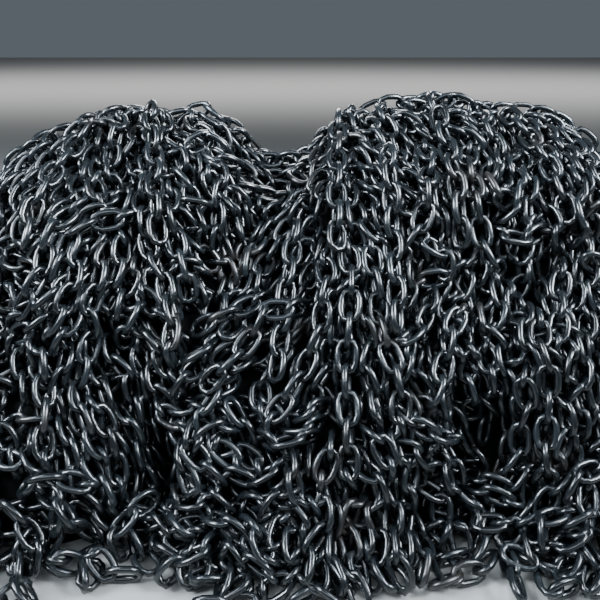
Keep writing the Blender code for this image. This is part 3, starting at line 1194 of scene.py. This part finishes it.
@dataclass(frozen=True)
class BlackChainPaint:
    """Bitumen-dipped, hot-formed iron wire: glossy near-black over a slightly uneven forged skin.

    The dip gives the eye thin cool highlights along the top of every wire and nothing in the hollows; a
    few stretches are duller, where dust and a first brown bloom of rust sit.

    Attributes:
        name: The material's name.
        black: Fresh black.
        worn: Thinner, greyer black.
        bloom: Brown of the first rust.
        roughness: Roughness of the fresh black.
        dulling: How much rougher the bloom is.
        ior: Refraction of the bitumen.
        patches: Patches of bloom to a metre, so of about 143 mm.
        bloom_from: Values of the patches' noise from which bloom shows, and where it is full.
        lumps: Lumps of the skin to a metre, so of about 9 mm.
        lump_height: Height of the lumps.
        lump_strength: Share of that height that the light shows.
    """

    name: str = "black_bitumen_painted_iron"
    black: str = "090c0e"
    worn: str = "161b1e"
    bloom: str = "211b17"
    roughness: float = 0.25
    dulling: float = 0.2
    ior: float = 1.6
    patches: float = 7.0
    bloom_from: tuple[float, float] = (0.60, 0.84)
    lumps: float = 110.0
    lump_height: float = 0.0008
    lump_strength: float = 0.25

    def make(self) -> bpy.types.Material:
        """Builds the material.

        Returns:
            The material.
        """
        made, shader = new_material(self.name)
        shader.inputs["IOR"].default_value = self.ior
        place = add_node(made, "ShaderNodeTexCoord").outputs["Object"]
        tone = add_node(made, "ShaderNodeAttribute", {"attribute_name": "tone"}).outputs["Fac"]
        patches = add_node(made, "ShaderNodeTexNoise", {"Scale": self.patches, "Detail": 3.0}, Vector=place)
        shows = {"From Min": self.bloom_from[0], "From Max": self.bloom_from[1]}
        grime = add_node(made, "ShaderNodeMapRange", shows, Value=patches.outputs["Fac"]).outputs["Result"]
        # Forged skin and runs of paint are finer in truth. These lumps are as coarse as it takes to show.
        skin = add_node(made, "ShaderNodeTexNoise", {"Scale": self.lumps, "Detail": 2.0}, Vector=place)
        base = add_node(made, "ShaderNodeMix", {"data_type": "RGBA"})
        base.inputs[6].default_value = linear(self.black)
        base.inputs[7].default_value = linear(self.worn)
        made.node_tree.links.new(tone, base.inputs[0])
        rusty = add_node(made, "ShaderNodeMix", {"data_type": "RGBA"})
        rusty.inputs[7].default_value = linear(self.bloom)
        made.node_tree.links.new(base.outputs[2], rusty.inputs[6])
        made.node_tree.links.new(grime, rusty.inputs[0])
        span = {"To Min": self.roughness, "To Max": self.roughness + self.dulling}
        dull = add_node(made, "ShaderNodeMapRange", span, Value=grime).outputs["Result"]
        relief = {"Strength": self.lump_strength, "Distance": self.lump_height}
        bump = add_node(made, "ShaderNodeBump", relief, Height=skin.outputs["Fac"])
        made.node_tree.links.new(rusty.outputs[2], shader.inputs["Base Color"])
        made.node_tree.links.new(dull, shader.inputs["Roughness"])
        made.node_tree.links.new(bump.outputs["Normal"], shader.inputs["Normal"])
        return made


@dataclass(frozen=True)
class PaintedShadeInside:
    """Painted shade for the unlit inside of the heap: a near-black colour where links lie too deep to make
    out.

    Attributes:
        name: The material's name.
        dark: Colour of the darkest grains of the painted shade.
        colour: Colour of the lightest ones.
        roughness: Roughness of the painted shade's surface.
        gloss: Level of its reflection.
        grains: Spots of the painted shade's mottle to a metre, so of about 36 mm.
    """

    name: str = "painted_shade_inside_heap"
    # Both colours are painted shade for the unlit depth of the heap, darker than the chain's own black.
    dark: str = "030404"
    colour: str = "050606"
    roughness: float = 0.85
    gloss: float = 0.1
    grains: float = 28.0

    def make(self) -> bpy.types.Material:
        """Builds the material.

        Returns:
            The material.
        """
        made, shader = new_material(self.name)
        shader.inputs["Roughness"].default_value = self.roughness
        shader.inputs["Specular IOR Level"].default_value = self.gloss
        place = add_node(made, "ShaderNodeTexCoord").outputs["Object"]
        grains = add_node(made, "ShaderNodeTexVoronoi", {"Scale": self.grains}, Vector=place)
        shade = add_node(made, "ShaderNodeMix", {"data_type": "RGBA"})
        shade.inputs[6].default_value = linear(self.dark)
        shade.inputs[7].default_value = linear(self.colour)
        made.node_tree.links.new(grains.outputs["Distance"], shade.inputs[0])
        made.node_tree.links.new(shade.outputs[2], shader.inputs["Base Color"])
        return made


# Pieces


def mesh_corners(mesh: bpy.types.Mesh) -> Array:
    """Gives a mesh's points (n, 3)."""
    corners = np.empty(3 * len(mesh.vertices))
    mesh.vertices.foreach_get("co", corners)
    return corners.reshape(-1, 3)


def mesh_object(name: str, points: Array, faces: Array, material: bpy.types.Material) -> bpy.types.Object:
    """Puts points and four-cornered faces into a smooth-shaded object at the origin.

    Args:
        name: The object's name.
        points: Points (n, 3).
        faces: Corners (m, 4).
        material: Its material.

    Returns:
        The object.
    """
    mesh = bpy.data.meshes.new(name)
    mesh.vertices.add(len(points))
    mesh.vertices.foreach_set("co", points.astype(np.float32).ravel())
    mesh.loops.add(faces.size)
    mesh.loops.foreach_set("vertex_index", faces.astype(np.int32).ravel())
    mesh.polygons.add(len(faces))
    mesh.polygons.foreach_set("loop_start", np.arange(0, faces.size, faces.shape[1], dtype=np.int32))
    mesh.update(calc_edges=True)
    mesh.validate()
    mesh.shade_smooth()
    mesh.materials.append(material)
    made = bpy.data.objects.new(name, mesh)
    bpy.context.scene.collection.objects.link(made)
    return made


@dataclass
class ChainWork:
    """Turns links' places into joined meshes.

    Attributes:
        form: The link.
        material: Its material.
        creep: Turn that builds up from each link to the next, in radians.
        sway: How far the turn swings besides, in radians.
        sway_step: Angle by which that swing goes on from each link to the next.
        sway_start: Where the swing starts, as a multiple of the length's twist.
        floor_gap: Least height of a link over the floor.
        tones: Shape of the spread of the links' tones, which lean to the fresh black.
    """

    form: LinkForm
    material: bpy.types.Material
    creep: float = 0.03
    sway: float = 0.12
    sway_step: float = 2.4
    sway_start: float = 9.0
    floor_gap: float = 0.0004
    tones: tuple[float, float] = (1.3, 2.2)

    def frames(self, strand: Strand, mound: Mound) -> tuple[Array, Array]:
        """Sets every link between its two hooking points, turned to the other side from the one before.

        The turn of link k is twist + lean or twist - lean by turns, + creep * k, + sway * sin(sway step * k
        + sway start * twist), which gives each length its own swing.

        Args:
            strand: The length of chain.
            mound: The surface, whose normal gives the turn its start.

        Returns:
            Link middles (n, 3) and axes (n, 3, 3): long axis, width and thickness as rows.
        """
        middles = (strand.hooks[1:] + strand.hooks[:-1]) / 2
        ahead = unit(strand.hooks[1:] - strand.hooks[:-1])
        normals = mound.surface(middles[:, :2])[1]
        side = unit(np.cross(normals, ahead))
        up = np.cross(ahead, side)
        count = np.arange(len(middles))
        turn = strand.twist + strand.lean * np.where(count % 2 == 0, 1, -1)
        swing = np.sin(self.sway_step * count + strand.twist * self.sway_start)
        turn = turn + self.creep * count + self.sway * swing
        across = np.cos(turn)[:, None] * side + np.sin(turn)[:, None] * up
        return middles, np.stack([ahead, across, np.cross(ahead, across)], axis=1)

    def joined(self, name: str, middles: Array, axes: Array, seed: int) -> bpy.types.Object:
        """Joins links into one object.

        A point of a link is its middle + x * long axis + y * width + z * thickness. A link that would reach
        under the floor is raised until it lies on it.

        Args:
            name: The object's name.
            middles: Link middles (n, 3).
            axes: Link axes (n, 3, 3).
            seed: Start of the random tones.

        Returns:
            The object.
        """
        corners, sides = self.form.template()
        points = np.einsum("pi,nij->npj", corners, axes) + middles[:, None, :]
        points[:, :, 2] += np.maximum(self.floor_gap - points[:, :, 2].min(axis=1), 0)[:, None]
        start = np.arange(len(middles))[:, None, None] * len(corners)
        made = mesh_object(name, points.reshape(-1, 3), (sides[None] + start).reshape(-1, 4), self.material)
        tones = np.random.default_rng(seed).beta(*self.tones, len(middles))
        layer = made.data.attributes.new("tone", "FLOAT", "POINT")
        layer.data.foreach_set("value", np.repeat(tones, len(corners)).astype(np.float32))
        return made


RUN_NAMES = ("left_flank_run", "left_hump_run", "front_run", "right_hump_inner_run", "right_hump_middle_run",
             "right_hump_outer_run", "right_flank_run", "back_run")


@dataclass
class PlacedRun:
    """One of the part's own runs of links, redrawn where they lie, with a weld and the loose links' mesh.

    The boxes round the redrawn links differ from those of the solids by up to 1.6 mm.

    Attributes:
        name: The run's name, which its links' names start with.
    """

    name: str

    def places(self, nodes: dict[str, bpy.types.Object]) -> tuple[list[str], Array, Array]:
        """Reads each link's middle and axes from its solid: the axes are those of its points' spread.

        Args:
            nodes: The part's nodes.

        Returns:
            Node names in order along the run, middles (n, 3) and axes (n, 3, 3).
        """
        names = [n for n in nodes if n.startswith(self.name + "_link_")]
        names.sort(key=lambda n: int(n.rsplit("_", 1)[1]))
        middles, axes = [], []
        for name in names:
            corners = np.unique(mesh_corners(nodes[name].data).round(5), axis=0)
            middle = corners.mean(axis=0)
            spread = np.linalg.eigh(np.cov((corners - middle).T))[1].T[::-1]
            middles.append(middle)
            axes.append(np.stack([spread[0], spread[1], np.cross(spread[0], spread[1])]))
        return names, np.array(middles), np.array(axes)


LAYERS = (
    Layer(Steering.DRAPED, depth=0.090, waves=0.010, spacing=0.086, wander=0.50, seed=3, tries=3000,
          longest=26, shortest=5, tier=Tier.BURIED),
    Layer(Steering.LOOPED, depth=0.056, waves=0.018, spacing=0.055, wander=0.30, seed=4, tries=9000,
          longest=9, shortest=3, tier=Tier.SECOND),
    Layer(Steering.DRAPED, depth=0.021, waves=0.014, spacing=0.040, wander=0.38, seed=5, tries=9000,
          longest=22, shortest=3, tier=Tier.OUTER),
    Layer(Steering.LOOPED, depth=0.004, waves=0.012, spacing=0.080, wander=0.30, seed=6, tries=420,
          longest=6, shortest=2, tier=Tier.LOOSE),
    Layer(Steering.LOOPED, depth=0.004, waves=0.010, spacing=0.055, wander=0.30, seed=7, tries=7000,
          longest=10, shortest=3, tier=Tier.LOOSE, highest=0.10),
    Layer(Steering.LOOPED, depth=-0.004, waves=0.010, spacing=0.050, wander=0.30, seed=8, tries=9000,
          longest=6, shortest=2, tier=Tier.LOOSE, highest=0.04, apron=1.03),
)


@dataclass
class LooseHeap:
    """All the loose chain of the heap, in pieces by side and depth.

    Attributes:
        form: The link.
        most: Most links in one joined piece.
        lift: How far the lengths seen in the photograph lie over the mound.
        front_lift: The same for the foremost ones.
        reach: Distance over which the seen lengths guide their neighbours.
        rounds: How many rounds the settling has.
        seed: Start of the random lies of the seen lengths.
        first_tone: Number that the seeds of the pieces' tones start from.
        dive: How far a seen length's ends go on and down into the mound, as shares of a link.
    """

    form: LinkForm
    most: int = 1370
    lift: float = 0.012
    front_lift: float = 0.022
    reach: float = 0.070
    rounds: int = 80
    seed: int = 21
    first_tone: int = 100
    dive: tuple[float, float] = (0.55, 0.84)

    def pile(self, mound: Mound, still: Array) -> list[Strand]:
        """Lays all layers and eases them apart.

        Args:
            mound: The surface.
            still: Points of chain that stays where it is.

        Returns:
            The lengths of chain.
        """
        seen = self.seen(mound, SEEN_STRANDS, self.lift)
        seen += self.seen(mound, OPEN_STRANDS, self.front_lift, Lie.CROSSED)
        grain = self.seen(mound, SEEN_GRAIN, self.lift)
        combing = Combing([s.hooks for s in seen + grain], self.reach)
        strands = list(seen)
        for layer in LAYERS:
            placed = seen if layer.tier in (Tier.OUTER, Tier.LOOSE) else []
            laid = layer.lay(mound, self.form, combing, placed)
            links = sum(len(s.hooks) - 1 for s in laid)
            LOG.info("%s layer: %d lengths, %d links", layer.tier.word, len(laid), links)
            strands += laid
        Settling(mound, self.form).settle(strands, still, self.rounds)
        return strands

    def seen(self, mound: Mound, lines: tuple[Line, ...], lift: float,
             lie: Lie | None = None) -> list[Strand]:
        """Lays lengths along lines of the photograph, on top of the mound, their ends diving into it.

        Args:
            mound: The surface.
            lines: The lines in the photograph's pixels.
            lift: How far they lie over the mound.
            lie: How their links lie; drawn for each length if it is None.

        Returns:
            The lengths of chain.
        """
        chance = np.random.default_rng(self.seed)
        pitch = self.form.inner_length
        strands = []
        for pixels in lines:
            line = PhotoView().onto(mound, np.array(pixels, dtype=float))
            step = np.concatenate([[0.0], np.cumsum(np.linalg.norm(np.diff(line, axis=0), axis=1))])
            links = max(1, round(step[-1] / pitch))
            along = np.linspace(0.0, step[-1], links + 1)
            points = np.stack([np.interp(along, step, line[:, k]) for k in range(3)], axis=-1)
            base, normals = mound.surface(points[:, :2])
            hooks = base + normals * lift
            ends = []
            for end, inner, normal in ((hooks[0], hooks[1], normals[0]), (hooks[-1], hooks[-2], normals[-1])):
                ends.append(end + pitch * (self.dive[0] * unit(end - inner) - self.dive[1] * normal))
            hooks = np.concatenate([ends[:1], hooks, ends[1:]])
            turn, lean = lie.turns() if lie else Lie.drawn(chance)
            strands.append(Strand(hooks, turn, lean, Tier.SEEN))
        return strands

    @staticmethod
    def piece_name(strand: Strand) -> str:
        """Names the piece that a length belongs to, by its tier and, deeper down, by its side and face."""
        word = strand.tier.word
        if strand.tier in (Tier.LOOSE, Tier.SEEN):
            return f"{word}_top_chains"
        centre = strand.hooks.mean(axis=0)
        side = "left" if centre[0] < 0 else "right"
        face = "front" if centre[1] < 0 else "back"
        return f"{face}_{side}_{word}_chains"

    def build(self, mound: Mound, work: ChainWork, still: Array) -> list[bpy.types.Object]:
        """Piles the chain and joins it into pieces.

        Args:
            mound: The surface.
            work: Makes the meshes.
            still: Points of chain that stays where it is.

        Returns:
            The pieces.
        """
        groups: dict[str, list[tuple[Array, Array]]] = {}
        for strand in self.pile(mound, still):
            groups.setdefault(self.piece_name(strand), []).append(work.frames(strand, mound))
        made = []
        for number, (name, parts) in enumerate(sorted(groups.items())):
            middles = np.concatenate([p[0] for p in parts])
            axes = np.concatenate([p[1] for p in parts])
            if len(middles) > self.most:
                LOG.warning("%s has %d links, over %d", name, len(middles), self.most)
            made.append(work.joined(name, middles, axes, self.first_tone + number))
            LOG.info("%s: %d links", name, len(middles))
        return made


@dataclass
class HeapHeart:
    """The dark inside that closes the view between the links, a near-black body of painted shade: the mound
    drawn in by a hand's width.

    Attributes:
        sunk: How deep it lies under the surface.
        columns: Directions round the heap.
        rows: Grid points from the crown to the rim.
        crown: Where the way out starts, as a share of it, which leaves a small hole at the crown.
        search: Nearest and farthest distance, and number of steps, of the search for the reach.
        edge: Height of the mound at the rim, as a multiple of the depth.
        lowest: Least height of the upper side.
        bottom: Height of the bottom.
        bottom_hole: Size of the hole in the bottom that one face closes, as a share of the rim.
    """

    sunk: float = 0.105
    columns: int = 120
    rows: int = 84
    crown: float = 0.02
    search: tuple[float, float, int] = (0.05, 1.6, 800)
    edge: float = 1.2
    lowest: float = 0.02
    bottom: float = 0.002
    bottom_hole: float = 0.04

    def build(self, mound: Mound, material: bpy.types.Material) -> bpy.types.Object:
        """Builds the closed body: an oval grid over the mound's plan, its rim turned in under a flat bottom.

        A point lies at sin(quarter turn * share of the way out) * the reach of the mound in its direction,
        and is then sunk by the depth along the surface's normal, but not under the floor. The reach is the
        farthest distance at which the mound is still higher than the depth * the edge.

        Args:
            mound: The surface.
            material: Its material.

        Returns:
            The object.
        """
        angle = 2 * math.pi * np.arange(self.columns) / self.columns
        share = np.sin(0.5 * math.pi * np.linspace(self.crown, 1.0, self.rows))
        steps = np.linspace(*self.search)
        rays = np.stack([np.cos(angle), np.sin(angle)], axis=-1)
        line = (rays[:, None, :] * steps[None, :, None]).reshape(-1, 2)
        tall = mound.lookup(mound.heights, line).reshape(self.columns, -1) > self.sunk * self.edge
        reach = steps[tall.shape[1] - 1 - np.argmax(tall[:, ::-1], axis=1)]
        xy = rays[:, None, :] * (reach[:, None] * share[None, :])[..., None]
        base, normals = mound.surface(xy.reshape(-1, 2))
        points = (base - normals * self.sunk).reshape(self.columns, self.rows, 3)
        points[:, :, 2] = np.maximum(points[:, :, 2], self.lowest)
        rim = points[:, -1:, :].copy()
        rim[:, :, 2] = self.bottom
        hole = rim * np.array([self.bottom_hole, self.bottom_hole, 1.0])
        points = np.concatenate([points, rim, hole], axis=1)
        rows = points.shape[1]
        a = (np.arange(self.columns) * rows)[:, None] + np.arange(rows - 1)[None, :]
        b = np.roll(a, -1, axis=0)
        faces = np.stack([a, a + 1, b + 1, b], axis=-1).reshape(-1, 4)
        made = mesh_object("dark_heap_heart", points.reshape(-1, 3), faces, material)
        self.close(made, rows)
        return made

    def close(self, made: bpy.types.Object, rows: int) -> None:
        """Closes the small holes at the crown and under the middle with one face each.

        Args:
            made: The object.
            rows: Points in each column.
        """
        body = bmesh.new()
        body.from_mesh(made.data)
        body.verts.ensure_lookup_table()
        for row in (0, rows - 1):
            body.faces.new([body.verts[c * rows + row] for c in range(self.columns)])
        bmesh.ops.recalc_face_normals(body, faces=body.faces)
        body.to_mesh(made.data)
        body.free()


@dataclass(frozen=True)
class Panel:
    """A rectangular light.

    Attributes:
        name: Its name.
        place: Where it hangs.
        aim: What it points at.
        size: Width and height.
        watts: Its power.
        colour: Its colour.
        beam: Angle of its beam in degrees.
    """

    name: str
    place: Triple
    aim: Triple
    size: tuple[float, float]
    watts: float
    colour: Triple = (0.80, 0.90, 1.0)
    beam: float = 180.0

    def build(self) -> None:
        """Hangs the light."""
        data = bpy.data.lights.new(self.name, "AREA")
        data.spread = math.radians(self.beam)
        data.shape = "RECTANGLE"
        data.size, data.size_y = self.size
        data.energy = self.watts
        data.color = self.colour
        lamp = bpy.data.objects.new(self.name, data)
        lamp.location = self.place
        lamp.rotation_euler = (Vector(self.aim) - Vector(self.place)).to_track_quat("-Z", "Y").to_euler()
        bpy.context.scene.collection.objects.link(lamp)


PANELS = (
    Panel("left_panel", (-4.0, -2.0, 3.6), (0.0, 0.0, 1.15), (2.2, 1.8), 128.0, beam=60.0),
    Panel("right_panel", (4.1, -1.8, 3.9), (0.2, 0.1, 1.4), (2.2, 1.8), 148.0, (0.82, 0.91, 1.0), 55.0),
    Panel("front_panel", (0.0, -3.2, 3.6), (0.0, 0.5, 1.2), (4.6, 1.8), 42.0, beam=75.0),
    Panel("left_sky_panel", (-1.7, -0.5, 2.9), (-0.6, -0.2, 0.6), (1.0, 0.8), 58.0),
    Panel("right_sky_panel", (1.7, -0.5, 2.9), (0.6, -0.2, 0.6), (1.0, 0.8), 58.0),
    Panel("floor_wash", (0.0, 13.0, 8.0), (0.0, 18.0, 0.0), (30.0, 9.0), 3400.0, (0.97, 0.98, 1.0), 150.0),
    Panel("back_panel", (0.0, 3.4, 2.4), (0.0, 0.3, 0.4), (2.4, 1.2), 120.0, (0.94, 0.97, 1.0)),
)


@dataclass
class Studio:
    """Pale floor, soft lights and the camera.

    Attributes:
        view: The photograph's view.
        reach: How far the floor goes to each side.
        floor: Colour of the floor.
        floor_roughness: Roughness of the floor.
        air: Colour of the light from all sides.
        air_strength: Strength of that light.
    """

    view: PhotoView = PhotoView()
    reach: float = 40.0
    floor: str = "949390"
    floor_roughness: float = 0.8
    air: str = "bccad6"
    air_strength: float = 0.21

    def build(self) -> None:
        """Builds the studio."""
        pale, shader = new_material("pale_studio_floor")
        shader.inputs["Base Color"].default_value = linear(self.floor)
        shader.inputs["Roughness"].default_value = self.floor_roughness
        corners = np.array([[-1, -1, 0], [1, -1, 0], [1, 1, 0], [-1, 1, 0]]) * self.reach
        mesh_object("studio_floor", corners, np.array([[0, 1, 2, 3]]), pale)
        for panel in PANELS:
            panel.build()
        world = bpy.data.worlds.new("studio_air")
        world.use_nodes = True
        world.node_tree.nodes["Background"].inputs["Color"].default_value = linear(self.air)
        world.node_tree.nodes["Background"].inputs["Strength"].default_value = self.air_strength
        bpy.context.scene.world = world
        self.camera()

    def camera(self) -> None:
        """Sets the camera up, looking along +Y and down by the view's tilt."""
        data = bpy.data.cameras.new("photo_view")
        data.sensor_width = self.view.sensor
        data.lens = self.view.sensor * self.view.focal / self.view.side
        camera = bpy.data.objects.new("photo_view", data)
        camera.location = self.view.eye
        camera.rotation_euler = (math.radians(90.0 - self.view.tilt), 0.0, 0.0)
        bpy.context.scene.collection.objects.link(camera)
        bpy.context.scene.camera = camera


def main() -> None:
    """Builds the heap in order and reports each piece."""
    logging.basicConfig(level=logging.INFO, format="%(name)s: %(message)s")
    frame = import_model()
    nodes = frame["nodes"]
    form = LinkForm()
    mound = Mound(nodes["buried_chain_core"])
    work = ChainWork(form, BlackChainPaint().make())
    first_run_tone = 10
    still = []
    for number, run_name in enumerate(RUN_NAMES):
        names, middles, axes = PlacedRun(run_name).places(nodes)
        piece = work.joined(run_name, middles, axes, first_run_tone + number)
        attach(piece, "root")
        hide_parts(*names)
        half = axes[:, 0] * form.inner_length / 2
        still += [middles, middles - half, middles + half]
        LOG.info("%s: %d links", run_name, len(names))
    for piece in LooseHeap(form).build(mound, work, np.concatenate(still)):
        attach(piece, "root")
    # The heart wears the painted shade of the heap's unlit inside.
    heart = HeapHeart().build(mound, PaintedShadeInside().make())
    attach(heart, "root")
    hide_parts("buried_chain_core")
    LOG.info("%s: closed dark inside", heart.name)
    Studio().build()


if __name__ == "__main__":
    main()
